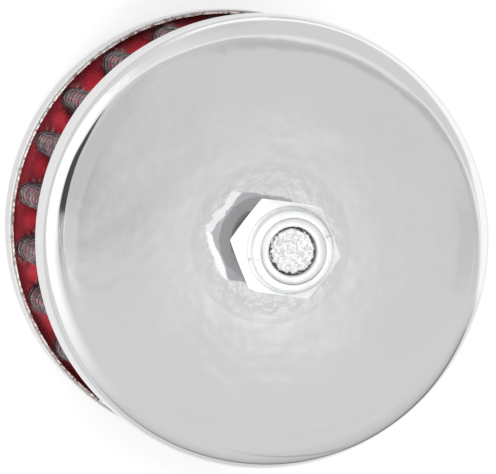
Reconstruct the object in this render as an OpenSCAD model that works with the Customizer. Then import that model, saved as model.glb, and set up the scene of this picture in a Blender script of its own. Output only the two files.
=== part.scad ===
// Round crankcase breather filter: two pressed steel caps hold a ring of pleated, oiled cotton
// gauze between wire screens. A stud with a nylon-insert lock nut stands on the front cap, and
// the rear cap has a plain central inlet. +Z runs along the stud, and Z = 0 is the rear face.

/* [Caps] */
// Outer diameter of both caps
cap_d = 50.8; // [48:0.1:60]
// Overall height over both caps
body_h = 36.2; // [32:0.1:50]
// Height of the front cap, face to lip
front_cap_h = 7.2; // [6:0.1:10]
// Height of the rear cap, face to lip
rear_cap_h = 6.7; // [6:0.1:10]
// Thickness of the cap sheet
sheet = 0.5; // [0.4:0.05:0.7]
// Outer radius of the pressed edge
edge_r = 2.5; // [1.5:0.1:3]

/* [Inlet] */
// Diameter of the inlet hole in the rear cap
inlet_d = 12.7; // [8:0.1:14]
// Height of the drawn collar, from the rear face to its inner edge
inlet_h = 6; // [4:0.1:8]

/* [Pleats] */
// Number of pleats around the ring
pleats = 23; // [20:1:26]
// Angle of the first pleat tip from +X
first_tip = 13.6; // [0:0.1:15.6]
// Gap between the pleat tips and the skirts' inner wall
tip_gap = 0.45; // [0.35:0.05:1.5]
// Radius of a pleat's outer fold
tip_r = 1.3; // [1.1:0.05:1.4]
// Depth of the pleats, from the outer to the inner fold
pleat_depth = 8; // [6:0.1:9]
// Radius of the crease between two pleats
crease_r = 0.3; // [0.2:0.05:0.4]
// Thickness of the cotton gauze
cotton = 0.6; // [0.4:0.05:0.7]
// Thickness of each wire screen's sheet
screen = 0.2; // [0.1:0.05:0.25]
// Height of the cross wires over the outer screen
wire_proud = 0.15; // [0.05:0.01:0.25]
// Width of a cross wire
wire_w = 0.35; // [0.2:0.05:0.6]
// Distance between cross wires
wire_pitch = 1.9; // [1.6:0.1:4]
// Radial length of the cross wires, inwards from the tips
wire_reach = 3.2; // [2:0.1:6]

/* [End seals] */
// Distance of a seal's surface below its cap's lip
seal_recess = 2.5; // [1.5:0.1:3]
// Width of the cast ring inside the inner folds
seal_inside = 1.6; // [0.5:0.1:2.5]
// Depth to which the folds stand in a seal
embed = 2.6; // [1.5:0.1:3]

/* [Stud and nut] */
// Major diameter of the stud's thread
stud_d = 6; // [5:0.5:6]
// Diameter of the stud's sawn end, inside its chamfer
stud_end_d = 4.5; // [3.8:0.1:4.6]
// Diameter of the stud's head inside the cap
head_d = 14; // [10:0.5:18]
// Thickness of the stud's head
head_h = 1.8; // [1:0.1:3]
// Gap between the front cap and the nut
nut_gap = 6; // [1:0.1:12]
// Width of the nut across its flats
nut_flats = 10; // [9.8:0.1:11]
// Diameter of the flat circle inside the hexagon's chamfers
nut_face_d = 9.6; // [9.4:0.1:9.7]
// Height of the nut's hexagon
hex_h = 5.8; // [4:0.1:7]
// Height of the rolled collar over the hexagon
collar_h = 2.4; // [2:0.1:4]
// Diameter of the collar
collar_d = 8.9; // [8.4:0.1:9.4]
// Diameter of the opening in the collar's rolled lip
lip_d = 7.3; // [7:0.1:7.6]
// Diameter of the nylon ring's own hole
nylon_hole_d = 5.35; // [5:0.05:5.8]
// Depth of the stud's end below the collar's top
end_recess = 1; // [0.8:0.1:2]
// Angle of one of the nut's corners from +X
nut_turn = -8.5; // [-30:0.5:30]

/* [Hidden] */

fine = 96;
eps = 0.01;

cap_r = cap_d / 2;
skirt_r = cap_r - sheet;
bend_r = edge_r - sheet;
front_z = body_h;
front_lip_z = body_h - front_cap_h;
rear_seal_z = rear_cap_h - seal_recess;
front_seal_z = front_lip_z + seal_recess;

pitch = 360 / pleats;
fold = cotton + 2 * screen;
tip_centre = skirt_r - tip_gap - tip_r;
crease_centre = skirt_r - tip_gap - pleat_depth + fold + crease_r;
// Direction in which a pleat's flank faces, from the radial line through its tip
crease_x = crease_centre * cos(pitch / 2) - tip_centre;
crease_y = crease_centre * sin(pitch / 2);
flank = atan2(crease_y, crease_x)
        - acos((tip_r + crease_r) / sqrt(crease_x * crease_x + crease_y * crease_y));
pack_low = rear_seal_z - embed;
pack_high = front_seal_z + embed;
seal_r = crease_centre - crease_r - fold - seal_inside;
wire_count = floor((front_seal_z - rear_seal_z) / wire_pitch);
first_wire_z = (rear_seal_z + front_seal_z - (wire_count - 1) * wire_pitch - wire_w) / 2;

inlet_r = inlet_d / 2;
inlet_bend = 1.2;
collar_out_r = inlet_r + inlet_bend;

stud_r = stud_d / 2;
head_r = head_d / 2;
head_bevel = 0.6;
head_low_z = front_z - sheet - head_h;
stud_hole_gap = 0.2;
stud_hole_r = stud_r + stud_hole_gap;
stud_end_r = stud_end_d / 2;
nut_z = front_z + nut_gap;
hex_top_z = nut_z + hex_h;
nut_top_z = hex_top_z + collar_h;
stud_top_z = nut_top_z - end_recess;
chamfer = 30;
// The nut is turned larger than its corners before the flats are cut
blank_spare = 0.3;
blank_r = nut_flats / 2 / cos(30) + blank_spare;
nut_face_r = nut_face_d / 2;
collar_r = collar_d / 2;
collar_round = 0.7;
lip_t = 0.35;
pocket_depth = 0.4;
lead_in = 0.5;
lip_r = lip_d / 2;
nylon_r = collar_r - lip_t;
nylon_low_z = hex_top_z - pocket_depth;
nylon_high_z = nut_top_z - lip_t;
nylon_hole_r = nylon_hole_d / 2;
// The ring bulges over its pocket's edge, and slopes into its hole
nylon_crown = 0.15;
nylon_edge = 0.1;
nylon_slope = 0.3;

// Points of an arc, in the order of its angles
function arc(x, y, r, from, to, steps) =
    [for (i = [0 : steps]) let (a = from + (to - from) * i / steps) [x + r * cos(a), y + r * sin(a)]];

function turned(points, angle) =
    [for (p = points) [p[0] * cos(angle) - p[1] * sin(angle), p[0] * sin(angle) + p[1] * cos(angle)]];

// One pleat's outline: the outer fold, then the crease before the next pleat. A positive offset
// lies outside the fold's outer face, and a negative one in its thickness.
function pleat_points(offset, tip_steps, crease_steps) = concat(
    arc(tip_centre, 0, tip_r + offset, -flank, flank, tip_steps),
    arc(crease_centre * cos(pitch / 2), crease_centre * sin(pitch / 2), crease_r - offset,
        180 + flank, 180 + pitch - flank, crease_steps));

function pleat_ring(offset, tip_steps, crease_steps) =
    [for (i = [0 : pleats - 1])
        each turned(pleat_points(offset, tip_steps, crease_steps), first_tip + pitch * i)];

// The faces of the folded pack, from outside to inside
outer_face = pleat_ring(0, 3, 1);
cotton_outer_face = pleat_ring(-screen, 3, 1);
cotton_inner_face = pleat_ring(-screen - cotton, 2, 3);
inner_face = pleat_ring(-fold, 2, 3);
wire_face = pleat_ring(wire_proud, 3, 1);

// A cap's section in its own frame: its outer face on y = 0, its skirt rising to the lip
module cap_section(height, hole_r) {
    difference() {
        union() {
            translate([hole_r, 0]) square([cap_r - edge_r - hole_r, sheet]);
            translate([cap_r - sheet, edge_r]) square([sheet, height - edge_r]);
            intersection() {
                translate([cap_r - edge_r, edge_r]) circle(r = edge_r, $fn = fine);
                translate([cap_r - edge_r, 0]) square([edge_r, edge_r]);
            }
        }
        translate([cap_r - edge_r, edge_r]) circle(r = bend_r, $fn = fine);
    }
}

// The inside of a cap, filled from its floor to the surface of the cast seal
module seal_section(depth) {
    union() {
        translate([seal_r, sheet]) square([cap_r - edge_r - seal_r, depth - sheet]);
        translate([cap_r - edge_r - eps, edge_r]) square([bend_r + eps, depth - edge_r]);
        intersection() {
            translate([cap_r - edge_r, edge_r]) circle(r = bend_r, $fn = fine);
            translate([cap_r - edge_r - eps, sheet]) square([bend_r + eps, bend_r]);
        }
    }
}

module folded_sheet(outside, inside) {
    translate([0, 0, pack_low]) linear_extrude(pack_high - pack_low) difference() {
        polygon(outside);
        polygon(inside);
    }
}

module rear_cap() {
    color([0.82, 0.83, 0.84]) rotate_extrude($fn = fine) {
        cap_section(rear_cap_h, collar_out_r);
        difference() {
            union() {
                translate([inlet_r, 0]) square([inlet_bend, inlet_bend]);
                translate([inlet_r, inlet_bend]) square([sheet, inlet_h - inlet_bend]);
            }
            // The outer face turns into the bore on a round edge
            difference() {
                translate([inlet_r - eps, -eps]) square([inlet_bend + eps, inlet_bend + eps]);
                translate([collar_out_r, inlet_bend]) circle(r = inlet_bend, $fn = fine);
            }
            translate([collar_out_r, inlet_bend]) circle(r = inlet_bend - sheet, $fn = fine);
        }
    }
}

module front_cap() {
    color([0.82, 0.83, 0.84]) translate([0, 0, front_z]) mirror([0, 0, 1])
        rotate_extrude($fn = fine) cap_section(front_cap_h, stud_hole_r);
}

module rear_seal() {
    color([0.45, 0.05, 0.09]) difference() {
        rotate_extrude($fn = fine) seal_section(rear_seal_z);
        folded_sheet(outer_face, inner_face);
    }
}

module front_seal() {
    color([0.45, 0.05, 0.09]) difference() {
        translate([0, 0, front_z]) mirror([0, 0, 1])
            rotate_extrude($fn = fine) seal_section(front_z - front_seal_z);
        folded_sheet(outer_face, inner_face);
    }
}

module cotton_pleats() {
    color([0.66, 0.09, 0.16]) folded_sheet(cotton_outer_face, cotton_inner_face);
}

// The cross wires stand out of the screen over the pleat tips
module outer_mesh() {
    color([0.36, 0.33, 0.34]) {
        folded_sheet(outer_face, cotton_outer_face);
        for (i = [0 : wire_count - 1]) translate([0, 0, first_wire_z + i * wire_pitch])
            linear_extrude(wire_w) difference() {
                polygon(wire_face);
                polygon(outer_face);
                circle(r = tip_centre + tip_r - wire_reach, $fn = fine);
            }
    }
}

module inner_mesh() {
    color([0.36, 0.33, 0.34]) folded_sheet(cotton_inner_face, inner_face);
}

module mount_stud() {
    point = stud_r - stud_end_r;
    color([0.86, 0.86, 0.87]) rotate_extrude($fn = fine) polygon([
        [0, head_low_z],
        [head_r - head_bevel, head_low_z],
        [head_r, head_low_z + head_bevel],
        [head_r, front_z - sheet],
        [stud_r, front_z - sheet],
        [stud_r, stud_top_z - point],
        [stud_end_r, stud_top_z],
        [0, stud_top_z]]);
}

// The nut as turned: chamfered at both ends, with the rolled collar, the bore and the ring's pocket
module nut_section() {
    drop = (blank_r - nut_face_r) * tan(chamfer);
    top = hex_h + collar_h;
    pocket_low = nylon_low_z - nut_z;
    pocket_high = nylon_high_z - nut_z;
    difference() {
        union() {
            polygon([
                [0, 0],
                [nut_face_r, 0],
                [blank_r, drop],
                [blank_r, hex_h - drop],
                [nut_face_r, hex_h],
                [0, hex_h]]);
            translate([0, pocket_low]) square([collar_r, top - collar_round - pocket_low]);
            translate([0, pocket_low]) square([collar_r - collar_round, top - pocket_low]);
            translate([collar_r - collar_round, top - collar_round])
                circle(r = collar_round, $fn = fine);
        }
        polygon([
            [-eps, -eps],
            [stud_r + lead_in + eps, -eps],
            [stud_r, lead_in],
            [stud_r, pocket_low],
            [nylon_r, pocket_low],
            [nylon_r, pocket_high],
            [lip_r, pocket_high],
            [lip_r, top + eps],
            [-eps, top + eps]]);
    }
}

module lock_nut() {
    color([0.9, 0.9, 0.91]) translate([0, 0, nut_z]) difference() {
        rotate_extrude($fn = fine) nut_section();
        for (i = [0 : 5]) rotate([0, 0, nut_turn + 30 + 60 * i])
            translate([nut_flats / 2, -nut_flats, -eps]) cube([nut_flats, 2 * nut_flats, hex_h + 2 * eps]);
    }
}

// The ring follows the stud's chamfer up to its own, smaller hole
module nut_insert() {
    chamfer_z = stud_top_z - (stud_r - stud_end_r);
    color([0.8, 0.8, 0.79]) rotate_extrude($fn = fine) polygon([
        [stud_r, nylon_low_z],
        [nylon_r, nylon_low_z],
        [nylon_r, nylon_high_z],
        [lip_r, nylon_high_z],
        [lip_r - nylon_edge, nylon_high_z + nylon_crown],
        [nylon_hole_r + nylon_slope, nylon_high_z + nylon_crown],
        [nylon_hole_r, nylon_high_z - nylon_crown],
        [nylon_hole_r, chamfer_z + stud_r - nylon_hole_r],
        [stud_r, chamfer_z]]);
}

rear_cap();
front_cap();
rear_seal();
front_seal();
cotton_pleats();
outer_mesh();
inner_mesh();
mount_stud();
lock_nut();
nut_insert();
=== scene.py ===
import bpy
import math
import numpy as np
from mathutils import Matrix, Vector


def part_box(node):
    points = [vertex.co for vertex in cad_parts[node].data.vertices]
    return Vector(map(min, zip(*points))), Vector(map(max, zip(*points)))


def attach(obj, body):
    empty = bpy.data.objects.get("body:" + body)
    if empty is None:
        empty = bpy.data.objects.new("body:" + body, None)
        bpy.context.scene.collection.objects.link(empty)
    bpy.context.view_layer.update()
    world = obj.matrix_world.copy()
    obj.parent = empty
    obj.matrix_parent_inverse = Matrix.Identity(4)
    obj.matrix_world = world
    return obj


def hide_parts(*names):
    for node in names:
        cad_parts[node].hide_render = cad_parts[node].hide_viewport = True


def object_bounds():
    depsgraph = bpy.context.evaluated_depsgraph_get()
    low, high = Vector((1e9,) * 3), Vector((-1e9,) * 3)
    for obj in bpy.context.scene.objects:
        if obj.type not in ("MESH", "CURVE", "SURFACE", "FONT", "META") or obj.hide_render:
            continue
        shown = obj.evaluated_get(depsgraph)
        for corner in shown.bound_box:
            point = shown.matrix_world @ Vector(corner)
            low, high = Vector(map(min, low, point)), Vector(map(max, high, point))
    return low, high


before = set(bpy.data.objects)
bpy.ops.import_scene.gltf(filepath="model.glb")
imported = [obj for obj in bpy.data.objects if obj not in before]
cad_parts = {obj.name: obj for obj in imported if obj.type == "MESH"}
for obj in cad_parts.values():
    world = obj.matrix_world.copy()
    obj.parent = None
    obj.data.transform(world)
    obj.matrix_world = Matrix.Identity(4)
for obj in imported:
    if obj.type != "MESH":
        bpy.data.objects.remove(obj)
cad_low, cad_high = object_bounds()

MM = 0.001
BODY = "root"

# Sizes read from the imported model
CAP_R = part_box("front_cap")[1].x
FRONT_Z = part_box("front_cap")[1].z
FRONT_LIP_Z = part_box("front_cap")[0].z
REAR_LIP_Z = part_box("rear_cap")[1].z
REAR_SEAL_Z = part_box("rear_seal")[1].z
FRONT_SEAL_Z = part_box("front_seal")[0].z
PACK_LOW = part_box("cotton_pleats")[0].z
PACK_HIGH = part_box("cotton_pleats")[1].z
HEAD_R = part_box("mount_stud")[1].x
HEAD_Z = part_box("mount_stud")[0].z
STUD_TOP_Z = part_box("mount_stud")[1].z
NUT_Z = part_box("lock_nut")[0].z
NUT_TOP_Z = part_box("lock_nut")[1].z

# Sizes named in the part's source
SHEET = 0.5 * MM
EDGE_R = 2.5 * MM
INLET_R = 6.35 * MM
INLET_H = 6 * MM
INLET_BEND = 1.2 * MM
PLEATS = 23
FIRST_TIP = 13.6
TIP_GAP = 0.45 * MM
TIP_R = 1.3 * MM
PLEAT_DEPTH = 8 * MM
CREASE_R = 0.3 * MM
COTTON = 0.6 * MM
SCREEN = 0.2 * MM
SEAL_INSIDE = 1.6 * MM
STUD_R = 3 * MM
STUD_END_R = 2.25 * MM
STUD_HOLE_R = 3.2 * MM
HEAD_H = 1.8 * MM
NUT_FLATS = 10 * MM
NUT_FACE_R = 4.8 * MM
HEX_H = 5.8 * MM
COLLAR_R = 4.45 * MM
COLLAR_ROUND = 0.7 * MM
LIP_T = 0.35 * MM
LIP_R = 3.65 * MM
NYLON_HOLE_R = 2.675 * MM
NUT_TURN = -8.5

# Small sizes that only the visible surfaces have
LIP_PLAY = 0.06 * MM
WALL_GAP = 0.02 * MM
NUT_BORE_END = 2.6 * MM
CAP_SEGMENTS = 360

SKIRT_R = CAP_R - SHEET
FOLD = COTTON + 2 * SCREEN
TIP_CENTRE = SKIRT_R - TIP_GAP - TIP_R
CREASE_CENTRE = SKIRT_R - TIP_GAP - PLEAT_DEPTH + FOLD + CREASE_R
SEAL_R = CREASE_CENTRE - CREASE_R - FOLD - SEAL_INSIDE
PITCH = 360 / PLEATS

# Wire screen: distances between wires, their radius and their wave over and under each other
WIRE_PITCH = 1.35 * MM
COLUMN_PITCH = 2.2 * MM
WIRE_R = 0.085 * MM
WIRE_WAVE = 0.07 * MM

# The photograph's camera, fitted to the outlines of both caps
IMAGE_W = 496
TILT_X = 3.67
TILT_Y = 10.02
CAMERA_DISTANCE = 21.93 * CAP_R
CAMERA_RIGHT = 0.099 * CAP_R
CAMERA_DOWN = 0.027 * CAP_R
PIXELS_PER_RADIUS = 228.9
SENSOR = 36


def view_turn():
    """Rotation from the object's frame to the camera's."""
    return Matrix.Rotation(math.radians(TILT_X), 3, "X") @ Matrix.Rotation(math.radians(TILT_Y), 3, "Y")


def make_camera():
    turn = view_turn()
    shift = Vector((CAMERA_RIGHT, -CAMERA_DOWN, -CAMERA_DISTANCE))
    data = bpy.data.cameras.new("camera")
    data.sensor_width = SENSOR
    data.lens = PIXELS_PER_RADIUS * CAMERA_DISTANCE / CAP_R / IMAGE_W * SENSOR
    data.clip_start = 0.05
    data.clip_end = 20
    camera = bpy.data.objects.new("camera", data)
    place = Vector((0, 0, FRONT_Z)) - turn.transposed() @ shift
    camera.matrix_world = Matrix.Translation(place) @ turn.transposed().to_4x4()
    bpy.context.scene.collection.objects.link(camera)
    bpy.context.scene.camera = camera


# Node helpers
def new_material(name):
    material = bpy.data.materials.new(name)
    material.use_nodes = True
    tree = material.node_tree
    return material, tree, tree.nodes["Principled BSDF"]


def set_inputs(tree, node, inputs):
    """Links a node's inputs to sockets and sets the others to constants."""
    for name, value in inputs.items():
        if isinstance(value, bpy.types.NodeSocket):
            tree.links.new(value, node.inputs[name])
        else:
            node.inputs[name].default_value = value


def add_node(tree, kind, inputs, **settings):
    node = tree.nodes.new(kind)
    for name, value in settings.items():
        setattr(node, name, value)
    set_inputs(tree, node, inputs)
    return node


def object_coordinates(tree):
    return add_node(tree, "ShaderNodeTexCoord", {}).outputs["Object"]


def noise(tree, where, scale, detail=2.0, roughness=0.5):
    inputs = {"Vector": where, "Scale": scale, "Detail": detail, "Roughness": roughness}
    return add_node(tree, "ShaderNodeTexNoise", inputs).outputs["Fac"]


def remap(tree, value, low, high, to_low, to_high):
    inputs = {"Value": value, "From Min": low, "From Max": high, "To Min": to_low, "To Max": to_high}
    return add_node(tree, "ShaderNodeMapRange", inputs).outputs["Result"]


def math_node(tree, operation, first, second=None):
    inputs = {0: first} if second is None else {0: first, 1: second}
    return add_node(tree, "ShaderNodeMath", inputs, operation=operation).outputs["Value"]


def vector_node(tree, operation, first, second=None):
    inputs = {0: first} if second is None else {0: first, 1: second}
    return add_node(tree, "ShaderNodeVectorMath", inputs, operation=operation)


def off_axis(tree, where):
    """Distance from the stud's axis."""
    across = vector_node(tree, "MULTIPLY", where, (1, 1, 0)).outputs[0]
    return vector_node(tree, "LENGTH", across).outputs["Value"]


def mix_colour(tree, factor, first, second):
    """A mix of two colours, whose sockets come after those for numbers and vectors."""
    return add_node(tree, "ShaderNodeMix", {0: factor, 6: first, 7: second}, data_type="RGBA").outputs[2]


def bump(tree, height, distance, normal=None):
    inputs = {"Height": height, "Distance": distance, "Strength": 1.0}
    if normal is not None:
        inputs["Normal"] = normal
    return add_node(tree, "ShaderNodeBump", inputs).outputs["Normal"]


# Materials
def chrome_material(name, base):
    """Polished plate with slow waves and faint scuffs, and with small ripples near the stud."""
    material, tree, shader = new_material(name)
    where = object_coordinates(tree)
    haze = noise(tree, where, 90, 4, 0.6)
    waves = noise(tree, where, 110, 3, 0.5)
    scuffs = noise(tree, where, 900, 3, 0.6)
    slow = bump(tree, waves, 0.03 * MM)
    near_stud = remap(tree, off_axis(tree, where), 6.5 * MM, 9 * MM, 1, 0)
    ripples = math_node(tree, "MULTIPLY", noise(tree, where, 800, 2), near_stud)
    rippled = bump(tree, ripples, 0.015 * MM, slow)
    set_inputs(tree, shader, {
        "Metallic": 1.0, "Specular Tint": (0.88, 0.88, 0.88, 1), "Base Color": base,
        "Roughness": remap(tree, haze, 0.35, 0.7, 0.03, 0.075),
        "Normal": bump(tree, scuffs, 0.0006 * MM, rippled)})
    return material


def lip_material(name, dull, bright, low, high, metallic):
    """The cut edge of a cap's sheet, with dull and bright specks."""
    material, tree, shader = new_material(name)
    specks = noise(tree, object_coordinates(tree), 1500, 4, 0.7)
    set_inputs(tree, shader, {
        "Base Color": mix_colour(tree, remap(tree, specks, low, high, 0, 1), dull, bright),
        "Metallic": metallic, "Roughness": 0.3, "Normal": bump(tree, specks, 0.06 * MM)})
    return material


def seal_material():
    """Cast resin, clouded and glossy, and darkened with painted shade where the mesh's own layer says."""
    material, tree, shader = new_material("red_end_seal")
    where = object_coordinates(tree)
    clouded = remap(tree, noise(tree, where, 260, 3, 0.5), 0.35, 0.65, 0, 1)
    mixed = mix_colour(tree, clouded, (0.72, 0.03, 0.055, 1), (1.0, 0.075, 0.12, 1))
    painted_shade = add_node(tree, "ShaderNodeAttribute", {}, attribute_name="painted_shade").outputs["Fac"]
    set_inputs(tree, shader, {
        # The mesh's layer mixes in a near-black red: painted shade beside the folds and along the walls.
        "Base Color": mix_colour(tree, painted_shade, mixed, (0.1, 0.01, 0.014, 1)),
        "Roughness": remap(tree, noise(tree, where, 700, 2), 0.3, 0.7, 0.16, 0.34),
        "Coat Weight": 1.0, "Coat Roughness": 0.12,
        "Normal": bump(tree, noise(tree, where, 300, 2), 0.3 * MM)})
    return material


def cotton_material():
    """Oiled gauze: threads along and across the fold, which the mesh's map measures in metres."""
    material, tree, shader = new_material("oiled_cotton")
    place = add_node(tree, "ShaderNodeUVMap", {}, uv_map="fold").outputs["UV"]
    threads_per_metre = 1800
    bands_per_unit = 20 / (math.pi / 2)
    inputs = {"Vector": place, "Scale": threads_per_metre / bands_per_unit, "Distortion": 1.2, "Detail": 2.0}
    weave = []
    for axis in ("X", "Y"):
        wave = add_node(tree, "ShaderNodeTexWave", inputs, wave_type="BANDS", bands_direction=axis)
        weave.append(wave.outputs["Fac"])
    cloth = math_node(tree, "MAXIMUM", weave[0], weave[1])
    soak = noise(tree, object_coordinates(tree), 180, 3, 0.6)
    soaked = remap(tree, soak, 0.35, 0.65, 0, 1)
    colour = mix_colour(tree, soaked, (0.2, 0.008, 0.02, 1), (0.43, 0.022, 0.055, 1))
    set_inputs(tree, shader, {
        "Base Color": mix_colour(tree, remap(tree, cloth, 0.2, 0.9, 0.35, 0), colour, (0.09, 0.004, 0.01, 1)),
        "Roughness": remap(tree, soak, 0.3, 0.7, 0.3, 0.55),
        "Sheen Weight": 0.1, "Coat Weight": 0.1, "Coat Roughness": 0.25,
        "Normal": bump(tree, cloth, 0.06 * MM)})
    return material


def wire_material(name, dull, bright):
    """Coated wire, worn in patches."""
    material, tree, shader = new_material(name)
    patches = noise(tree, object_coordinates(tree), 900, 3, 0.6)
    set_inputs(tree, shader, {
        "Base Color": mix_colour(tree, remap(tree, patches, 0.4, 0.62, 0, 1), dull, bright),
        "Metallic": 0.35, "Roughness": remap(tree, patches, 0.3, 0.7, 0.28, 0.5),
        "Normal": bump(tree, patches, 0.02 * MM)})
    return material


def zinc_material(name, dull, bright, metallic):
    """Plated steel, mottled a little."""
    material, tree, shader = new_material(name)
    mottle = noise(tree, object_coordinates(tree), 700, 4, 0.6)
    set_inputs(tree, shader, {
        "Base Color": mix_colour(tree, remap(tree, mottle, 0.35, 0.65, 0, 1), dull, bright),
        "Metallic": metallic, "Roughness": remap(tree, mottle, 0.3, 0.7, 0.25, 0.4)})
    return material


def cut_end_material():
    """The stud's sawn end: coarse bright crystals of plating."""
    material, tree, shader = new_material("sawn_end")
    grains = add_node(tree, "ShaderNodeTexVoronoi", {"Vector": object_coordinates(tree), "Scale": 4500.0})
    grey = add_node(tree, "ShaderNodeSeparateColor", {"Color": grains.outputs["Color"]}).outputs["Red"]
    brighter = remap(tree, grey, 0.25, 0.6, 0, 1)
    set_inputs(tree, shader, {
        "Base Color": mix_colour(tree, brighter, (0.62, 0.62, 0.63, 1), (0.86, 0.86, 0.86, 1)),
        "Metallic": 0.8, "Roughness": 0.25, "Normal": bump(tree, grey, 0.08 * MM)})
    return material


def dark_chamfer_material():
    """The bevel round the stud's sawn end, painted near-black as the shade in the gap between the stud and
    the nylon ring, lighter and ragged towards the sawn end.
    """
    material, tree, shader = new_material("painted_shade_bevel")
    where = object_coordinates(tree)
    lighter_near_end = remap(tree, off_axis(tree, where), STUD_END_R, STUD_END_R + 0.35 * MM, 0.08, -0.1)
    painted_shade = math_node(tree, "ADD", noise(tree, where, 2600, 3), lighter_near_end)
    unshaded = remap(tree, painted_shade, 0.46, 0.58, 0, 1)
    set_inputs(tree, shader, {
        # Near-black base colour: painted shade of the gap round the stud's end.
        "Base Color": mix_colour(tree, unshaded, (0.085, 0.085, 0.085, 1), (0.7, 0.7, 0.7, 1)),
        "Metallic": 0.3, "Roughness": 0.5})
    return material


def nylon_material():
    """Natural nylon, clouded a little."""
    material, tree, shader = new_material("natural_nylon")
    where = object_coordinates(tree)
    cloud = noise(tree, where, 500, 2)
    clouded = remap(tree, cloud, 0.35, 0.65, 0, 1)
    set_inputs(tree, shader, {
        "Base Color": mix_colour(tree, clouded, (0.39, 0.4, 0.395, 1), (0.44, 0.445, 0.44, 1)),
        "Roughness": remap(tree, cloud, 0.3, 0.7, 0.3, 0.42),
        "Normal": bump(tree, noise(tree, where, 1200, 2), 0.01 * MM)})
    return material


def floor_material():
    """A pale surface that glows: dimmer close to the part as painted contact shade, dimmer again far out, and
    brighter to its right as painted light over the part's shadow.
    """
    material, tree, shader = new_material("glowing_floor")
    where = object_coordinates(tree)
    away = vector_node(tree, "LENGTH", where).outputs["Value"]
    sideways = add_node(tree, "ShaderNodeSeparateXYZ", {0: where}).outputs["X"]
    # The glow is painted light: lowered near the part as painted shade and raised on the right where the
    # part's shadow falls.
    near = remap(tree, away, 0.028, 0.042, 0.6, 0.74)
    far = remap(tree, away, 0.05, 0.08, 0, -0.34)
    right_glow = remap(tree, sideways, 0.0, 0.04, 0, 0.35)
    set_inputs(tree, shader, {
        "Base Color": (0.2, 0.2, 0.2, 1), "Specular IOR Level": 0.1, "Emission Color": (1, 1, 1, 1),
        "Roughness": remap(tree, noise(tree, where, 6, 2), 0.3, 0.7, 0.75, 0.9),
        "Emission Strength": math_node(tree, "ADD", math_node(tree, "ADD", near, far), right_glow)})
    return material


# Mesh helpers
def new_piece(name, points, faces, materials, replaced, face_materials=None):
    """A mesh object that rides on the body, in metres in the part's own frame."""
    mesh = bpy.data.meshes.new(name)
    mesh.from_pydata([tuple(p) for p in points], [], faces)
    for material in materials:
        mesh.materials.append(material)
    if face_materials is not None:
        mesh.polygons.foreach_set("material_index", face_materials)
    mesh.polygons.foreach_set("use_smooth", [True] * len(mesh.polygons))
    mesh.validate()
    mesh.update()
    piece = bpy.data.objects.new(name, mesh)
    bpy.context.scene.collection.objects.link(piece)
    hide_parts(replaced)
    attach(piece, BODY)
    return piece


def sharpen(piece, angle):
    """Edges steeper than the angle stay sharp in the smooth shading."""
    mesh = piece.data
    normals = [p.normal.copy() for p in mesh.polygons]
    beside = {}
    for p in mesh.polygons:
        for key in p.edge_keys:
            beside.setdefault(key, []).append(p.index)
    limit = math.cos(math.radians(angle))
    for edge in mesh.edges:
        pair = beside.get(edge.key, [])
        if len(pair) == 2 and normals[pair[0]].dot(normals[pair[1]]) < limit:
            edge.use_edge_sharp = True


def arc(cx, cy, r, start, end, steps):
    """Points on an arc, with the angles in degrees."""
    angles = [math.radians(start + (end - start) * i / steps) for i in range(steps + 1)]
    return [(cx + r * math.cos(a), cy + r * math.sin(a)) for a in angles]


def lathe(profile, segments, radius_at=None, closed=False):
    """Turns (r, z) points about Z. radius_at(r, z, angle) may change a point's radius and height.
    A point at r = 0 stands for the pole."""
    points = []
    rings = []
    for r, z in profile:
        if r == 0:
            rings.append([len(points)])
            points.append((0, 0, z))
            continue
        ring = []
        for j in range(segments):
            angle = 2 * math.pi * j / segments
            rr, zz = radius_at(r, z, angle) if radius_at else (r, z)
            ring.append(len(points))
            points.append((rr * math.cos(angle), rr * math.sin(angle), zz))
        rings.append(ring)
    pairs = list(zip(rings, rings[1:]))
    if closed:
        pairs.append((rings[-1], rings[0]))
    faces = []
    owners = []
    for k, (a, b) in enumerate(pairs):
        for j in range(segments):
            n = (j + 1) % segments
            if len(a) == 1:
                faces.append((a[0], b[n], b[j]))
            elif len(b) == 1:
                faces.append((a[j], a[n], b[0]))
            else:
                faces.append((a[j], a[n], b[n], b[j]))
            owners.append(k)
    return points, faces, owners


# The folded pack: one outline, offset for each of its layers
rng = np.random.default_rng(7)
TIP_WANDER = 0.8
TIP_SIZE_SPREAD = 0.06
tip_angles = [FIRST_TIP + PITCH * i + TIP_WANDER * float(rng.uniform(-1, 1)) for i in range(PLEATS)]
# The pleats that the photograph shows stand off their even places by these degrees
FIRST_SHOWN = 6
for i, shift in enumerate((0.3, 0.9, 1.0, -0.1, 0.0, 0.0, -1.2, -0.9)):
    tip_angles[FIRST_SHOWN + i] = FIRST_TIP + PITCH * (FIRST_SHOWN + i) + shift
crease_angles = [(tip_angles[i] + (tip_angles[(i + 1) % PLEATS] + (360 if i == PLEATS - 1 else 0))) / 2
                 for i in range(PLEATS)]
tip_sizes = [TIP_R * (1 + TIP_SIZE_SPREAD * float(rng.uniform(-1, 1))) for i in range(PLEATS)]


def polar(r, angle):
    return np.array([r * math.cos(math.radians(angle)), r * math.sin(math.radians(angle))])


def flank_normal(tip, crease, tip_r, side):
    """Direction in degrees in which the flank between a tip and a crease faces."""
    dx, dy = crease - tip
    lean = math.degrees(math.acos((tip_r + CREASE_R) / math.hypot(dx, dy)))
    return math.degrees(math.atan2(dy, dx)) - side * lean


def unwrap(angle, near):
    return angle + 360 * round((near - angle) / 360)


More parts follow.
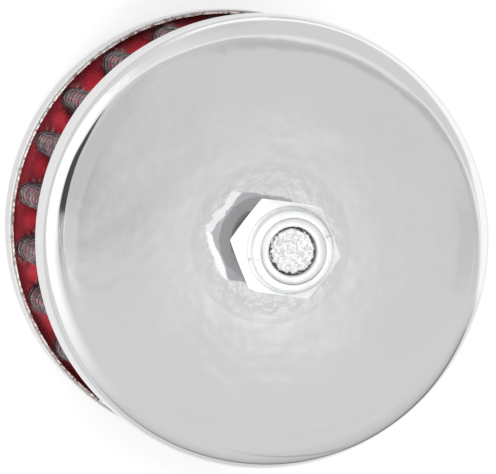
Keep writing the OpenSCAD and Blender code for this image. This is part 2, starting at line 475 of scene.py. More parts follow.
def fold_outline(offset, tip_steps=10, crease_steps=5, flank_steps=6):
    """The ring of folds as a closed list of points, counterclockwise. A positive offset lies
    outside the pack's outer face, a negative one in its thickness."""
    out = []
    for i in range(PLEATS):
        tip_r = tip_sizes[i]
        tip = polar(TIP_CENTRE + TIP_R - tip_r, tip_angles[i])
        before = polar(CREASE_CENTRE, crease_angles[i - 1])
        after = polar(CREASE_CENTRE, crease_angles[i])
        start = unwrap(flank_normal(tip, before, tip_r, -1), tip_angles[i] - 90)
        end = unwrap(flank_normal(tip, after, tip_r, 1), tip_angles[i] + 90)
        out += arc(tip[0], tip[1], tip_r + offset, start, end, tip_steps)
        following = (i + 1) % PLEATS
        next_r = tip_sizes[following]
        next_tip = polar(TIP_CENTRE + TIP_R - next_r, tip_angles[following])
        next_start = unwrap(flank_normal(next_tip, after, next_r, -1), crease_angles[i] - 90)
        crease = arc(after[0], after[1], CREASE_R - offset, 180 + end, 180 + next_start, crease_steps)
        out += straight(out[-1], crease[0], flank_steps) + crease
        first = next_tip + polar(next_r + offset, next_start)
        out += straight(crease[-1], first, flank_steps)
    return np.array(out)


def straight(a, b, steps):
    """Points between two others, without the two."""
    return [tuple(np.array(a) + (np.array(b) - np.array(a)) * k / steps) for k in range(1, steps)]


def outline_normals(points):
    along = np.roll(points, -1, axis=0) - np.roll(points, 1, axis=0)
    normals = np.stack([along[:, 1], -along[:, 0]], 1)
    return normals / np.linalg.norm(normals, axis=1)[:, None]


def resample(points, count):
    """Points evenly spaced along a closed outline."""
    closed = np.vstack([points, points[:1]])
    lengths = np.hypot(*np.diff(closed, axis=0).T)
    travelled = np.concatenate([[0], np.cumsum(lengths)])
    wanted = np.linspace(0, travelled[-1], count, endpoint=False)
    return np.stack([np.interp(wanted, travelled, closed[:, k]) for k in (0, 1)], 1), travelled[-1]


def tube_faces(rings, sides, closed):
    """Quads between rings of points numbered from 0, with the ends capped if the tube is open."""
    faces = []
    last = rings if closed else rings - 1
    for i in range(last):
        n = (i + 1) % rings
        for k in range(sides):
            m = (k + 1) % sides
            faces.append((i * sides + k, i * sides + m, n * sides + m, n * sides + k))
    if not closed:
        faces.append(tuple(reversed(range(sides))))
        faces.append(tuple((rings - 1) * sides + k for k in range(sides)))
    return faces


def join_tubes(tubes):
    points = []
    faces = []
    for tube_points, tube_quads in tubes:
        base = len(points)
        points.extend(tube_points)
        faces.extend(tuple(base + i for i in face) for face in tube_quads)
    return points, faces


def wire_rows():
    count = int((FRONT_SEAL_Z - REAR_SEAL_Z) / WIRE_PITCH) + 1
    middle = (FRONT_SEAL_Z + REAR_SEAL_Z) / 2
    return [middle + (i - (count - 1) / 2) * WIRE_PITCH for i in range(count)]


def screen_wires(level, name, replaced, across_material, along_material, steps):
    """A woven screen that follows the folds, with its middle at an offset from the pack's face."""
    sides = 4
    outline = fold_outline(level, 14, 8, 8)
    length = resample(outline, 8)[1]
    columns = 2 * round(length / COLUMN_PITCH / 2)
    path, _ = resample(outline, columns * steps)
    normals = outline_normals(path)
    rows = wire_rows()
    tubes = []
    for row, z in enumerate(rows):
        wave = np.cos(np.arange(columns * steps) * math.pi / steps) * (1 if row % 2 == 0 else -1)
        centre = path + normals * (WIRE_WAVE * wave)[:, None]
        ring = []
        for (x, y), (nx, ny) in zip(centre, normals):
            for k in range(sides):
                a = 2 * math.pi * k / sides
                ring.append((x + nx * WIRE_R * math.cos(a), y + ny * WIRE_R * math.cos(a),
                             z + WIRE_R * math.sin(a)))
        tubes.append((ring, tube_faces(columns * steps, sides, True)))
    across, across_faces = join_tubes(tubes)
    new_piece(name + "_cross_wires", across, across_faces, [across_material], replaced)

    low = rows[0] - WIRE_PITCH
    high = rows[-1] + WIRE_PITCH
    tubes = []
    knots = len(rows) * 2 + 3
    quads = tube_faces(knots, sides, False)
    for column in range(columns):
        x, y = path[column * steps]
        nx, ny = normals[column * steps]
        points = []
        for k in range(knots):
            z = low + (high - low) * k / (knots - 1)
            wave = math.cos(math.pi * (z - rows[0]) / WIRE_PITCH) * (-1 if column % 2 == 0 else 1)
            for corner in range(sides):
                a = 2 * math.pi * corner / sides
                side = WIRE_R * math.cos(a)
                lift = WIRE_WAVE * wave + WIRE_R * math.sin(a)
                points.append((x + nx * lift - ny * side, y + ny * lift + nx * side, z))
        tubes.append((points, quads))
    along, along_faces = join_tubes(tubes)
    new_piece(name + "_length_wires", along, along_faces, [along_material], replaced)


def cotton_sheet(material):
    """The gauze between the two screens, as a closed wall with a map of its threads."""
    room = 0.06 * MM
    outer = fold_outline(-SCREEN - room)
    inner = fold_outline(-SCREEN - COTTON + room)
    count = len(outer)
    steps = np.hypot(*(np.roll(outer, -1, axis=0) - outer).T)
    travelled = np.concatenate([[0], np.cumsum(steps)])
    levels = np.linspace(PACK_LOW, PACK_HIGH, 41)
    points = []
    for face, sign in ((outer, 1), (inner, -1)):
        normals = outline_normals(face)
        for z in levels:
            pucker = 0.05 * MM * math.sin(z / (2.6 * MM))
            pucker = pucker * np.sin(travelled[:-1] / (2.1 * MM) + z / (1.7 * MM))
            shifted = face + normals * (sign * pucker)[:, None]
            points += [(x, y, z) for x, y in shifted]
    rows = len(levels)
    faces = []
    spots = []
    for side in range(2):
        base = side * rows * count
        for i in range(rows - 1):
            for j in range(count):
                n = (j + 1) % count
                quad = (base + i * count + j, base + i * count + n,
                        base + (i + 1) * count + n, base + (i + 1) * count + j)
                where = [(travelled[j], levels[i]), (travelled[j + 1], levels[i]),
                         (travelled[j + 1], levels[i + 1]), (travelled[j], levels[i + 1])]
                if side == 1:
                    quad = quad[::-1]
                    where = where[::-1]
                faces.append(quad)
                spots += where
    for level in (0, rows - 1):
        for j in range(count):
            n = (j + 1) % count
            outer_row = level * count
            inner_row = (rows + level) * count
            quad = (outer_row + j, inner_row + j, inner_row + n, outer_row + n)
            faces.append(quad if level == 0 else quad[::-1])
            spots += [(travelled[j], levels[level])] * 4
    piece = new_piece("pleated_cotton", points, faces, [material], "cotton_pleats")
    layer = piece.data.uv_layers.new(name="fold")
    layer.data.foreach_set("uv", np.array(spots, np.float32).ravel())
    sharpen(piece, 60)


def seal_surface(name, replaced, floor_z, surface_z, direction, material):
    """A cast ring from the cap's floor to its surface, which climbs a little on the folds."""
    outline = np.vstack([fold_outline(0, 6, 3, 8), fold_outline(-FOLD, 3, 6, 8)])
    segments = PLEATS * 28
    depth = abs(surface_z - floor_z)
    bend = EDGE_R - SHEET
    rim = 0.3 * MM
    inner_wall = [(SEAL_R, 0), (SEAL_R, depth - rim)]
    outer_wall = [(SKIRT_R - WALL_GAP, depth - rim)]
    outer_wall += [(x - WALL_GAP, y) for x, y in arc(SKIRT_R - bend, bend, bend, 0, -90, 8)]
    top_steps = 44
    top = [(SEAL_R + (SKIRT_R - SEAL_R) * k / top_steps, depth) for k in range(top_steps + 1)]
    top[-1] = (SKIRT_R - WALL_GAP, depth)
    profile = inner_wall + top + outer_wall
    points, faces, _ = lathe(profile, segments, closed=True)
    points = np.array(points)
    first = len(inner_wall) * segments
    last = first + len(top) * segments
    flat = points[first:last, :2]
    near = np.full(len(flat), 1.0)
    batch = 4000
    for start in range(0, len(flat), batch):
        chunk = flat[start:start + batch]
        gaps = np.hypot(chunk[:, None, 0] - outline[None, :, 0], chunk[:, None, 1] - outline[None, :, 1])
        near[start:start + batch] = gaps.min(1)
    radial = np.hypot(flat[:, 0], flat[:, 1])
    wall = np.minimum(SKIRT_R - radial, radial - SEAL_R)
    angle = np.arctan2(flat[:, 1], flat[:, 0])
    meniscus = 0.4 * MM
    climb = 0.25 * MM * np.exp(-near / meniscus) + 0.2 * MM * np.exp(-wall / meniscus)
    uneven = 0.08 * MM * np.sin(9 * angle + 1.3) + 0.06 * MM * np.sin(25 * angle + radial / (0.9 * MM))
    points[first:last, 2] += climb + uneven - 0.1 * MM
    points[:, 2] = floor_z + direction * points[:, 2]
    if direction > 0:
        faces = [f[::-1] for f in faces]
    piece = new_piece(name, points, faces, [material], replaced)
    sharpen(piece, 50)
    # Painted shade: darker beside the folds and along both walls, and darker in one broad patch
    patch_at = 168
    patch_width = 16
    painted_shade = np.zeros(len(points), np.float32)
    painted_shade[first:last] = 0.9 * np.exp(-near / (0.5 * MM)) + 1.8 * np.exp(-wall / (1.3 * MM))
    painted_shade[first:last] += 0.35 * np.exp(-((np.degrees(angle) % 360 - patch_at) / patch_width) ** 2)
    painted_shade = np.clip(painted_shade, 0, 0.9)
    layer = piece.data.attributes.new("painted_shade", "FLOAT", "POINT")
    layer.data.foreach_set("value", painted_shade)


# The rigid pieces
def dish(r):
    """How far a cap's face falls towards its round edge, which real pressings never meet flat."""
    width = 1.4 * MM
    steepness = 0.014 / MM
    roll = 0.039
    roll_width = 0.8 * MM
    start = CAP_R - EDGE_R - width
    if r < start:
        return 0
    past = max(0, r - CAP_R + EDGE_R)
    return steepness * min(r - start, width) ** 2 + roll * past * math.exp(-past / roll_width)


def cap_profile(height, hole_r, edge_steps=20):
    """A cap's section from its hole outwards, round the edge, over the lip and back inside, with
    the outer face on 0 and the lip at height."""
    bend = EDGE_R - SHEET
    flat_end = CAP_R - EDGE_R
    rings = 24
    face = [(hole_r + (flat_end - hole_r) * k / rings, 0) for k in range(rings)]
    edge = arc(flat_end, EDGE_R, EDGE_R, -90, 0, edge_steps)
    face = [(r, y + dish(r)) for r, y in face]
    edge = [(r, y + dish(r)) for r, y in edge]
    skirt = [(CAP_R, EDGE_R + (height - EDGE_R) * k / 4) for k in range(1, 4)]
    lip = [(CAP_R, height - 0.1 * MM), (CAP_R - 0.1 * MM, height), (SKIRT_R + 0.2 * MM, height),
           (SKIRT_R + 0.1 * MM, height - 0.03 * MM), (SKIRT_R, height - 0.12 * MM)]
    inside = arc(flat_end, EDGE_R, bend, 0, -90, 8)
    back = [(hole_r, SHEET)]
    return face + edge + skirt + lip + inside + back, len(face + edge + skirt)


def rough_lip(height):
    """The lip wanders a little in height, as a sheared and rolled edge does."""
    def place(r, z, angle):
        if z < height - 0.5 * MM:
            return r, z
        wander = math.sin(3 * angle + 0.4) + 0.6 * math.sin(7 * angle + 2.0)
        nicks = math.sin(61 * angle) * math.sin(43 * angle + 1.0)
        return r, z + 0.03 * MM * wander + 0.02 * MM * nicks
    return place


def lip_slots(owners, lip_start):
    """Each face's material: the cut edge on the lip's first two strips, the painted shade on the next two."""
    strips = {lip_start: 1, lip_start + 1: 1, lip_start + 2: 2, lip_start + 3: 2}
    return [strips.get(k, 0) for k in owners]


def make_front_cap(chrome, edge, painted_shade):
    height = FRONT_Z - FRONT_LIP_Z - LIP_PLAY
    profile, lip_start = cap_profile(height, STUD_HOLE_R)
    points, faces, owners = lathe(profile, CAP_SEGMENTS, rough_lip(height), closed=True)
    points = [(x, y, FRONT_Z - z) for x, y, z in points]
    chosen = lip_slots(owners, lip_start)
    piece = new_piece("front_chrome_cap", points, faces, [chrome, edge, painted_shade], "front_cap", chosen)
    sharpen(piece, 40)


def make_rear_cap(chrome, edge, painted_shade):
    """The rear face turns into the inlet's collar on a round bend."""
    height = REAR_LIP_Z - LIP_PLAY
    bend_centre = INLET_R + INLET_BEND
    profile, lip_start = cap_profile(height, bend_centre)
    collar_in = arc(bend_centre, INLET_BEND, INLET_BEND - SHEET, -90, -180, 6)
    burr = 0.1 * MM
    collar_end = [(INLET_R + SHEET, INLET_H - burr), (INLET_R + SHEET - burr, INLET_H),
                  (INLET_R + burr, INLET_H), (INLET_R, INLET_H - burr)]
    collar_out = arc(bend_centre, INLET_BEND, INLET_BEND, 180, 270, 12)
    whole = profile + collar_in + collar_end + collar_out[:-1]
    points, faces, owners = lathe(whole, CAP_SEGMENTS, rough_lip(height), closed=True)
    faces = [f[::-1] for f in faces]
    chosen = lip_slots(owners, lip_start)
    piece = new_piece("rear_chrome_cap", points, faces, [chrome, edge, painted_shade], "rear_cap", chosen)
    sharpen(piece, 40)


def hexagon_radius(angle, round_off):
    """Radius of a hexagon with rounded corners, across flats as the nut."""
    turn = (math.degrees(angle) - NUT_TURN) % 60
    from_flat = math.radians(turn - 30)
    flat = NUT_FLATS / 2 / math.cos(from_flat)
    corner = (NUT_FLATS / 2 - round_off) / math.cos(math.radians(30))
    off_corner = math.radians(30) - abs(from_flat)
    reach = corner * math.cos(off_corner)
    gap = round_off ** 2 - (corner * math.sin(off_corner)) ** 2
    if gap <= 0:
        return flat
    rounded = reach + math.sqrt(gap)
    along_flat = abs(math.tan(from_flat)) * NUT_FLATS / 2
    on_corner = along_flat > (NUT_FLATS / 2 - round_off) * math.tan(math.radians(30))
    return min(flat, rounded) if on_corner else flat


def make_lock_nut(zinc, painted_light_zinc):
    """A hexagon chamfered on both faces, a turned groove, and a collar with its rolled lip."""
    slope = math.tan(math.radians(30))
    round_off = 0.2 * MM
    outer = [0.0, 0.5, 1.0]
    side_steps = 6
    collar_top = NUT_TOP_Z - NUT_Z
    segments = 480
    radii = [hexagon_radius(2 * math.pi * j / segments, round_off) for j in range(segments)]

    def hex_rings():
        proud = [h - NUT_FACE_R for h in radii]
        rings = [[(NUT_FACE_R + p * t, p * t * slope) for p in proud] for t in outer]
        for k in range(1, side_steps):
            t = k / side_steps
            rings.append([(h, p * slope * (1 - t) + (HEX_H - p * slope) * t) for h, p in zip(radii, proud)])
        rings += [[(NUT_FACE_R + p * t, HEX_H - p * t * slope) for p in proud] for t in reversed(outer)]
        return rings

    lead_in = 0.5 * MM
    fillet = 0.2 * MM
    bore = [(STUD_R, collar_top - NUT_BORE_END), (STUD_R, lead_in), (STUD_R + lead_in, 0)]
    groove_z = HEX_H - 0.07 * MM
    groove = [(NUT_FACE_R - 0.03 * MM, groove_z), (NUT_FACE_R - 0.09 * MM, groove_z),
              (NUT_FACE_R - 0.12 * MM, HEX_H)]
    collar = arc(COLLAR_R + fillet, HEX_H + fillet, fillet, 270, 180, 4)
    collar += arc(COLLAR_R - COLLAR_ROUND, collar_top - COLLAR_ROUND, COLLAR_ROUND, 0, 90, 10)
    inside = arc(LIP_R + 0.12 * MM, collar_top - 0.12 * MM, 0.12 * MM, 90, 180, 4)
    inside += [(LIP_R, collar_top - LIP_T), (LIP_R, collar_top - NUT_BORE_END)]
    hexagon = hex_rings()

    stake_angles = (23, 192)
    stake_width = 1.6
    stake_depth = 0.22 * MM

    def staked(r, z, j):
        """Two small marks on the collar's shoulder."""
        turn = 360 * j / segments
        dents = sum(math.exp(-(((turn - at + 180) % 360 - 180) / stake_width) ** 2) for at in stake_angles)
        return z - stake_depth * dents if r > LIP_R + 0.15 * MM else z

    rings = [[p] * segments for p in bore] + hexagon + [[p] * segments for p in groove]
    rings += [[(r, staked(r, z, j)) for j in range(segments)] for r, z in collar]
    rings += [[p] * segments for p in inside]
    points = []
    for ring in rings:
        for j, (r, z) in enumerate(ring):
            a = 2 * math.pi * j / segments
            points.append((r * math.cos(a), r * math.sin(a), NUT_Z + z))
    faces = []
    smooth = []
    chosen = []
    flats_end = len(bore) + len(hexagon) - len(outer)
    count = len(rings)
    for i in range(count):
        n = (i + 1) % count
        for j in range(segments):
            m = (j + 1) % segments
            faces.append((i * segments + j, i * segments + m, n * segments + m, n * segments + j))
            smooth.append(not len(bore) <= i < len(bore) + len(hexagon) + len(groove))
            # The bore, underside, lower chamfer and flats take the much lighter zinc: painted light.
            chosen.append(1 if i < flats_end or i == count - 1 else 0)
    piece = new_piece("nylon_lock_nut", points, faces, [zinc, painted_light_zinc], "lock_nut", chosen)
    piece.data.polygons.foreach_set("use_smooth", smooth)
    sharpen(piece, 22)


def make_insert(nylon):
    """The stud has pushed the ring's inner side up, so it falls towards the collar's lip."""
    high = NUT_TOP_Z - LIP_T + 0.14 * MM
    low = NUT_TOP_Z - 2.5 * MM
    swell = ((0, 0.4), (0.1, 0.33), (0.25, 0.22), (0.45, 0.1), (0.62, 0.03), (0.75, 0), (0.87, 0.06))
    section = [(LIP_R, low)] + [(LIP_R - inwards * MM, high - down * MM) for inwards, down in swell]
    section += [(NYLON_HOLE_R + 0.03 * MM, high - 0.2 * MM), (NYLON_HOLE_R, high - 0.35 * MM)]
    section.append((NYLON_HOLE_R, low))
    points, faces, _ = lathe(section, 160, closed=True)
    faces = [f[::-1] for f in faces]
    piece = new_piece("nylon_ring", points, faces, [nylon], "nut_insert")
    sharpen(piece, 50)


def make_stud(zinc, sawn, bevel):
    """The shank with its thread, the sawn end and the head inside the cap."""
    thread_pitch = 1.0 * MM
    depth = 0.6 * MM
    segments = 72
    per_turn = 16
    low = FRONT_Z + 0.1 * MM
    rows = int((STUD_TOP_Z - low) / thread_pitch * per_turn)
    point = STUD_R - STUD_END_R

    half_groove = 0.42
    flank = 0.3
    first_turns = 1.2

    def thread_radius(z, angle):
        """The thread's flanks, its run-out at the cap and the bevel of 45 degrees at the end."""
        phase = ((z - low) / thread_pitch - angle / (2 * math.pi)) % 1
        cut = min(1, max(0, (half_groove - abs(phase - 0.5)) / flank))
        run_out = min(1, (z - low) / (first_turns * thread_pitch))
        return min(STUD_R - WALL_GAP - depth * cut * run_out, STUD_END_R + max(0, STUD_TOP_Z - z))

    points = []
    faces = []
    chosen = []
    head_high = FRONT_Z - SHEET
    head = [(0, HEAD_Z), (HEAD_R - HEAD_H / 3, HEAD_Z), (HEAD_R, HEAD_Z + HEAD_H / 3),
            (HEAD_R, head_high), (STUD_R, head_high), (STUD_R, low)]
    rings = []
    for r, z in head:
        if r == 0:
            rings.append([0] * segments)
            points.append((0, 0, z))
            continue
        rings.append([len(points) + j for j in range(segments)])
        points += [(r * math.cos(2 * math.pi * j / segments), r * math.sin(2 * math.pi * j / segments), z)
                   for j in range(segments)]
    for i in range(1, rows + 1):
        z = low + (STUD_TOP_Z - low) * i / rows
        rings.append([len(points) + j for j in range(segments)])
        for j in range(segments):
            a = 2 * math.pi * j / segments
            r = thread_radius(z, a)
            points.append((r * math.cos(a), r * math.sin(a), z))
    end_rings = 22
    grain = np.random.default_rng(3)
    for i in range(1, end_rings):
        rings.append([len(points) + j for j in range(segments)])
        r = STUD_END_R * (1 - i / end_rings)
        for j in range(segments):
            a = 2 * math.pi * (j + grain.uniform(-0.3, 0.3)) / segments
            lift = 0.05 * MM * float(grain.uniform(-1, 0.2)) * min(1, i / 2) * min(1, r / (0.8 * MM))
            points.append((r * math.cos(a), r * math.sin(a), STUD_TOP_Z + lift))
    start_of_end = len(head) + rows - 1
    start_of_bevel = start_of_end - round(point / (STUD_TOP_Z - low) * rows)
    for k, (a, b) in enumerate(zip(rings, rings[1:])):
        for j in range(segments):
            n = (j + 1) % segments
            if a[j] == a[n]:
                faces.append((a[j], b[n], b[j]))
            else:
                faces.append((a[j], a[n], b[n], b[j]))
            chosen.append(1 if k >= start_of_end else 2 if k >= start_of_bevel else 0)
    points.append((0, 0, STUD_TOP_Z))
    for j in range(segments):
        faces.append((rings[-1][j], rings[-1][(j + 1) % segments], len(points) - 1))
        chosen.append(1)
    piece = new_piece("threaded_stud", points, faces, [zinc, sawn, bevel], "mount_stud", chosen)
    for p in piece.data.polygons:
        if p.material_index == 1:
            p.use_smooth = False
    sharpen(piece, 35)


# The surroundings
def make_floor():
    """A round table top under the part."""
    radius = 100 * MM
    level = cad_low.z - 0.02 * MM
    points, faces, _ = lathe([(0, level), (radius / 2, level), (radius, level)], 96)
    mesh = bpy.data.meshes.new("floor")
    mesh.from_pydata(points, [], faces)
    mesh.materials.append(floor_material())
    floor = bpy.data.objects.new("floor", mesh)
    bpy.context.scene.collection.objects.link(floor)


def direction(polar_angle, azimuth):
    """Unit vector from the degrees off +Z and round from +X."""
    p = math.radians(polar_angle)
    a = math.radians(azimuth)
    return Vector((math.sin(p) * math.cos(a), math.sin(p) * math.sin(a), math.cos(p)))


def curve(tree, value, points):
    """A smooth line through (value, result) points."""
    first = points[0][0]
    span = points[-1][0] - first
    node = add_node(tree, "ShaderNodeFloatCurve", {"Value": remap(tree, value, first, first + span, 0, 1)})
    node.mapping.use_clip = False
    line = node.mapping.curves[0]
    for _ in points[2:]:
        line.points.new(0.5, 0.5)
    for point, (at, result) in zip(line.points, points):
        point.location = ((at - first) / span, result)
        point.handle_type = "AUTO_CLAMPED"
    node.mapping.update()
    return node.outputs["Value"]


def make_world():
    """A studio as the chrome shows it. A direction is named by the chrome that mirrors it to the
    camera: its clock angle in degrees, and its reach, from 0 on the flat face to 1 on the outline."""
    world = bpy.data.worlds.new("studio")
    bpy.context.scene.world = world
    world.use_nodes = True
    tree = world.node_tree
    where = add_node(tree, "ShaderNodeTexCoord", {}).outputs["Generated"]
    face_tone = 0.905
    wall_tone = 1.42
    window_tone = 1.65
    backdrop_tone = 1.05
    dark = 0.1
    sharp = 0.0001
    toward_camera = tuple(view_turn().transposed() @ Vector((0, 0, 1)))
    between = vector_node(tree, "ADD", where, toward_camera)
    normal = vector_node(tree, "NORMALIZE", between.outputs[0])
    split = add_node(tree, "ShaderNodeSeparateXYZ", {0: normal.outputs[0]})
    x, y = split.outputs["X"], split.outputs["Y"]

    def add(first, second):
        return math_node(tree, "ADD", first, second)

    def less(first, second):
        return math_node(tree, "SUBTRACT", first, second)

    def both(first, second):
        return math_node(tree, "MULTIPLY", first, second)

    def band(value, low, high, soft):
        """1 between the limits, falling to 0 within the soft distance outside them."""
        if isinstance(soft, (int, float)):
            soft = (soft, soft)
        rise = remap(tree, less(value, low), -soft[0], 0.0, 0, 1)
        drop = remap(tree, less(value, high), 0.0, soft[1], 1, 0)
        return both(rise, drop)

    def mixed(factor, first, second):
        return add_node(tree, "ShaderNodeMix", {0: factor, 2: first, 3: second}, data_type="FLOAT").outputs[0]

    def by_top(points):
        return curve(tree, from_top, points)

    def by_clock(points):
        return curve(tree, clock, points)

    reach = math_node(tree, "SQRT", add(both(x, x), both(y, y)))
    from_top = both(math_node(tree, "ARCTAN2", x, y), 180 / math.pi)
    clock = math_node(tree, "MODULO", add(from_top, 360.0), 360.0)

    # Over the flat face: a soft glow round the nut, and duller on the left
    face_scale = 2 * CAMERA_DISTANCE / MM
    across = both(x, face_scale)
    upward = both(y, face_scale)

    def spot(spot_x, spot_y, near, far, strength):
        """The strength round a place on the face, fading between two distances from it in mm."""
        dx = less(across, spot_x)
        dy = less(upward, spot_y)
        distance = math_node(tree, "SQRT", add(both(dx, dx), both(dy, dy)))
        return remap(tree, distance, near, far, strength, 0)

    tone = add(spot(2.3, -1.2, 5.5, 14, 0.13), face_tone)
    for place in ((2.5, -7, 2, 8.5, 0.2), (3.5, 7, 1, 7, 0.08), (-22, 3, 3, 11, -0.15)):
        tone = add(tone, spot(*place))
    tone = add(tone, remap(tree, upward, -15, 15, 0.025, -0.015))
    tone = add(tone, remap(tree, noise(tree, where, 60, 2), 0.35, 0.65, -0.015, 0.015))
    tone = add(tone, both(both(band(clock, 285, 320, 9), band(reach, 0.02, 0.14, (0.01, 0.12))), -0.1))

    # Top and right: a dusky ring, a bright line, a plain zone and a white wall
    low = by_top([(-60, 0.2), (-30, 0.07), (-15, 0.03), (0, 0.024), (15, 0.024), (30, 0.03),
                  (45, 0.035), (60, 0.046), (75, 0.1), (90, 0.147), (120, 0.25)])
    line = by_top([(-60, 0.6), (-38, 0.37), (-30, 0.285), (-23, 0.2), (-8, 0.12), (0, 0.073), (15, 0.062),
                   (30, 0.064), (44, 0.07), (52, 0.15), (60, 0.19), (75, 0.29), (90, 0.37), (120, 0.6)])
    wall = by_top([(-60, 0.78), (-15, 0.785), (-5, 0.755), (0, 0.74), (22, 0.73), (37, 0.69), (52, 0.614),
                   (68, 0.548), (78, 0.47), (90, 0.483), (98, 0.524), (105, 0.6), (120, 0.7)])
    ring_shape = [(0, 0.5), (0.25, 0.31), (0.5, 0.35), (0.75, 0.41), (0.95, 0.5), (1, 0.52)]
    across_ring = math_node(tree, "DIVIDE", less(reach, low), less(line, low))
    ring = curve(tree, across_ring, ring_shape)
    ring_depth = by_top([(-60, 0), (-30, 0.25), (-12, 0.5), (0, 1), (60, 1), (78, 0.75), (95, 0.55),
                         (110, 0)])
    ring_here = both(ring_depth, band(reach, low, line, sharp))
    tone = add(tone, both(ring_here, less(ring, ring_shape[0][1])))
    right_dusk = both(band(from_top, 84, 97, 14), band(reach, 0.03, 0.1, (0.012, 0.1)))
    tone = add(tone, both(right_dusk, -0.1))
    plain = by_top([(-76, 0), (-66, 0), (-58, 0.2), (-32, 0.23), (-18, 0.11), (-5, 0.05), (65, 0.05),
                    (78, 0.16), (92, 0.18), (110, 0)])
    tone = add(tone, both(plain, band(reach, line, 0.9, sharp)))
    bright_line = both(band(from_top, -40, 80, (6, 20)), band(reach, line, line, (0.012, 0.11)))
    line_glow = by_top([(-46, 0.15), (-30, 0.15), (-15, 0.26), (5, 0.26), (18, 0.19), (42, 0.19),
                        (58, 0.27), (100, 0.27)])
    tone = add(tone, both(bright_line, line_glow))
    dim_edge = both(band(from_top, -70, -8, 10), band(reach, 0.68, 0.72, (0.3, 0.02)))
    tone = add(tone, both(dim_edge, -0.08))
    near_wall = both(band(from_top, 30, 103, (10, 6)), band(reach, wall, 1, 0.1))
    tone = add(tone, both(near_wall, 0.12))
    tone = mixed(both(band(from_top, -70, 103, (8, 6)), band(reach, wall, 1, 0.015)), tone, wall_tone)

    # Bottom: the tone falls to a dark line at the horizon, with pale ground beyond it
    edge = by_clock([(100, 0.6), (112, 0.64), (120, 0.68), (128, 0.735), (135, 0.775), (150, 0.8),
                     (173, 0.775), (190, 0.76), (203, 0.77), (220, 0.785), (242, 0.8)])
    depth = by_clock([(104, 0), (112, 0.3), (119, 0.82), (128, 0.9), (140, 0.84), (155, 0.74), (165, 0.6),
                      (173, 0.66), (195, 0.64), (215, 0.48), (228, 0.3), (242, 0)])
    fall_shape = [(0, 1), (0.02, 0.9), (0.05, 0.6), (0.1, 0.33), (0.2, 0.15), (0.42, 0)]
    fall = curve(tree, less(edge, reach), fall_shape)
    ground = by_clock([(100, 1.2), (125, 1.15), (160, 1.12), (185, 1.05), (215, 1.1), (245, 1.1)])
    tone = less(tone, both(both(depth, fall), band(reach, 0, edge, 0.001)))
    tail = both(band(clock, 140, 178, 14), band(reach, less(edge, 0.5), edge, (0.15, 0.01)))
    tone = less(tone, both(tail, 0.06))
    beyond = both(band(clock, 110, 238, 8), band(reach, add(edge, 0.11), 1.01, 0.095))
    tone = mixed(beyond, tone, ground)

    # Round the top and right, the silhouette ends in a thin dark line
    last_edge = both(band(clock, 4, 172, 8), band(reach, 0.87, 1.01, 0.06))
    tone = mixed(last_edge, tone, dark)

    # A thin curved shadow leads in from the bottom
    finger = by_clock([(158, 0.68), (164, 0.6), (172, 0.48), (180, 0.37), (188, 0.27), (198, 0.2)])
    half_width = 0.012
    thin = band(reach, less(finger, half_width), add(finger, half_width), 0.04)
    tone = less(tone, both(thin, by_clock([(158, 0), (166, 0.26), (180, 0.2), (188, 0.08), (198, 0)])))

    # The white window on the left: a soft inner edge at the bottom, a sharp one at the top
    inner = by_clock([(225, 0.5), (234, 0.5), (242, 0.5), (255, 0.53), (263, 0.58), (269, 0.6), (274, 0.52),
                      (280, 0.54), (286, 0.535), (293, 0.545), (301, 0.53), (308, 0.58), (320, 0.53)])
    outer = by_clock([(225, 0.66), (234, 0.68), (250, 0.725), (263, 0.785), (272, 0.825), (283, 0.84),
                      (292, 0.828), (300, 0.808), (312, 0.76), (325, 0.7)])
    soft = by_clock([(225, 0.35), (245, 0.32), (262, 0.3), (270, 0.28), (275, 0.17), (280, 0.12), (300, 0.14),
                     (308, 0.24), (320, 0.24)])
    opening = remap(tree, math_node(tree, "DIVIDE", less(reach, inner), soft), -1.0, 0.0, 0, 1)
    opening = both(opening, band(reach, 0, outer, 0.03))
    strength = by_clock([(222, 0), (234, 0.2), (244, 0.5), (256, 0.78), (265, 0.95), (275, 1), (309, 1),
                         (313, 0.3), (324, 0)])
    streaks = remap(tree, noise(tree, where, 26, 4, 0.6), 0.42, 0.58, 0, 0.7)
    strength = add(strength, both(streaks, band(clock, 312, 318, (1, 8))))
    tone = mixed(both(band(clock, 238, 330, 12), band(reach, outer, 1.01, 0.02)), tone, 1.0)
    tone = mixed(both(opening, strength), tone, window_tone)

    # The dark shape of the camera: solid, pointed at its upper end and ragged at its lower one
    shape_in = by_clock([(250, 0.03), (262, 0.09), (271, 0.16), (279, 0.192), (286, 0.232), (293, 0.275),
                         (300, 0.3), (311, 0.4)])
    shape_out = by_clock([(250, 0.25), (262, 0.3), (271, 0.36), (279, 0.42), (286, 0.446), (293, 0.452),
                          (300, 0.405), (311, 0.4)])
    shape = band(reach, shape_in, shape_out, (0.03, 0.012))
    solid = by_clock([(250, 0), (260, 0.15), (270, 0.4), (277, 0.6), (281, 1), (301, 1), (311, 0)])
    torn = remap(tree, noise(tree, where, 30, 4, 0.6), 0.44, 0.54, 0, 1)
    torn = mixed(band(clock, 280, 320, 6), torn, 1.0)
    tone = mixed(both(both(shape, solid), torn), tone, dark)
    rim = both(band(reach, less(shape_in, 0.03), less(shape_in, 0.01), 0.012), band(clock, 258, 277, 8))
    tone = mixed(both(rim, torn), tone, 1.25)

    # Seen directly, the studio is a white backdrop
    seen = add_node(tree, "ShaderNodeLightPath", {}).outputs["Is Camera Ray"]
    tone = mixed(seen, tone, backdrop_tone)

    grey = add_node(tree, "ShaderNodeCombineColor", {"Red": tone, "Green": tone, "Blue": tone})
    set_inputs(tree, tree.nodes["Background"], {"Color": grey.outputs["Color"], "Strength": 1.0})


# Name, energy, spread, degrees off +Z and round from +X
LIGHTS = (
    ("window", 1.2, 30, 50, 238),
    ("low_window", 1.0, 40, 80, 172),
    ("upper_glow", 1.7, 16, 18, 115),
    ("lower_glow", 2.2, 16, 18, 228),
)


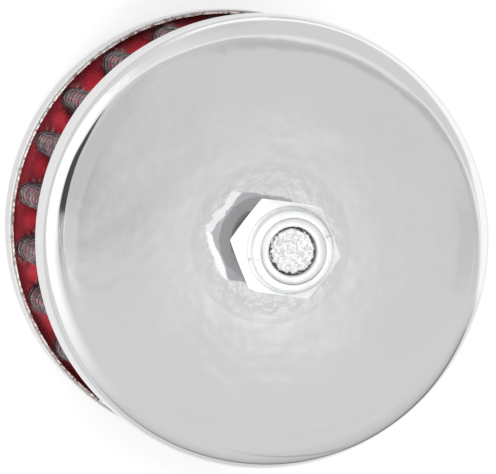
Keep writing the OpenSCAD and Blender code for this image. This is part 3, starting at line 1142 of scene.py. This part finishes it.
def make_lights():
    """A broad window at the lower left, a low one at the left and two glows beside the camera."""
    for name, energy, spread, polar_angle, azimuth in LIGHTS:
        sun = bpy.data.lights.new(name, "SUN")
        sun.energy = energy
        sun.angle = math.radians(spread)
        lamp = bpy.data.objects.new(name, sun)
        lamp.visible_glossy = False
        lamp.rotation_mode = "QUATERNION"
        lamp.rotation_quaternion = direction(polar_angle, azimuth).to_track_quat("Z", "Y")
        bpy.context.scene.collection.objects.link(lamp)


make_camera()
make_floor()
make_world()
make_lights()
bpy.context.scene.view_settings.view_transform = "Standard"

front_chrome = chrome_material("front_chrome", (0.665, 0.665, 0.674, 1))
# The rear cap is the same chrome with a darker base: painted shade for the dim floor its skirt mirrors near
# the contact.
dimmed_rear_chrome = chrome_material("dimmed_rear_chrome", (0.575, 0.57, 0.585, 1))
cut_edge = lip_material("cut_edge", (0.3, 0.29, 0.27, 1), (0.5, 0.495, 0.485, 1), 0.36, 0.46, 0.6)
# The lip's inner strips: dark brown specks painted as the shade where the edge faces into the pleats.
shaded_lip_edge = lip_material("shaded_lip_edge", (0.16, 0.13, 0.1, 1), (0.72, 0.7, 0.67, 1), 0.43, 0.55, 0.0)
make_front_cap(front_chrome, cut_edge, shaded_lip_edge)
make_rear_cap(dimmed_rear_chrome, cut_edge, shaded_lip_edge)
seal = seal_material()
seal_surface("rear_end_seal", "rear_seal", SHEET, REAR_SEAL_Z, 1, seal)
seal_surface("front_end_seal", "front_seal", FRONT_Z - SHEET, FRONT_SEAL_Z, -1, seal)
cotton_sheet(cotton_material())
# One coated wire in two copies: the cross wires made lighter as a painted highlight, the length wires darker.
lit_cross_wire = wire_material("lit_cross_wire", (0.045, 0.042, 0.045, 1), (0.165, 0.155, 0.16, 1))
shaded_length_wire = wire_material("shaded_length_wire", (0.035, 0.032, 0.034, 1), (0.1, 0.095, 0.1, 1))
screen_wires(-0.04 * MM, "outer", "outer_mesh", lit_cross_wire, shaded_length_wire, 5)
screen_wires(-FOLD + 0.1 * MM, "inner", "inner_mesh", lit_cross_wire, shaded_length_wire, 3)
zinc = zinc_material("turned_zinc", (0.46, 0.47, 0.475, 1), (0.52, 0.52, 0.525, 1), 0.25)
# The same plated steel made much lighter: painted light for the nut's underside and flats.
painted_light_zinc = zinc_material("painted_light_zinc", (0.93, 0.94, 0.945, 1), (0.98, 0.98, 0.985, 1), 0.05)
make_stud(zinc, cut_end_material(), dark_chamfer_material())
make_lock_nut(zinc, painted_light_zinc)
make_insert(nylon_material())
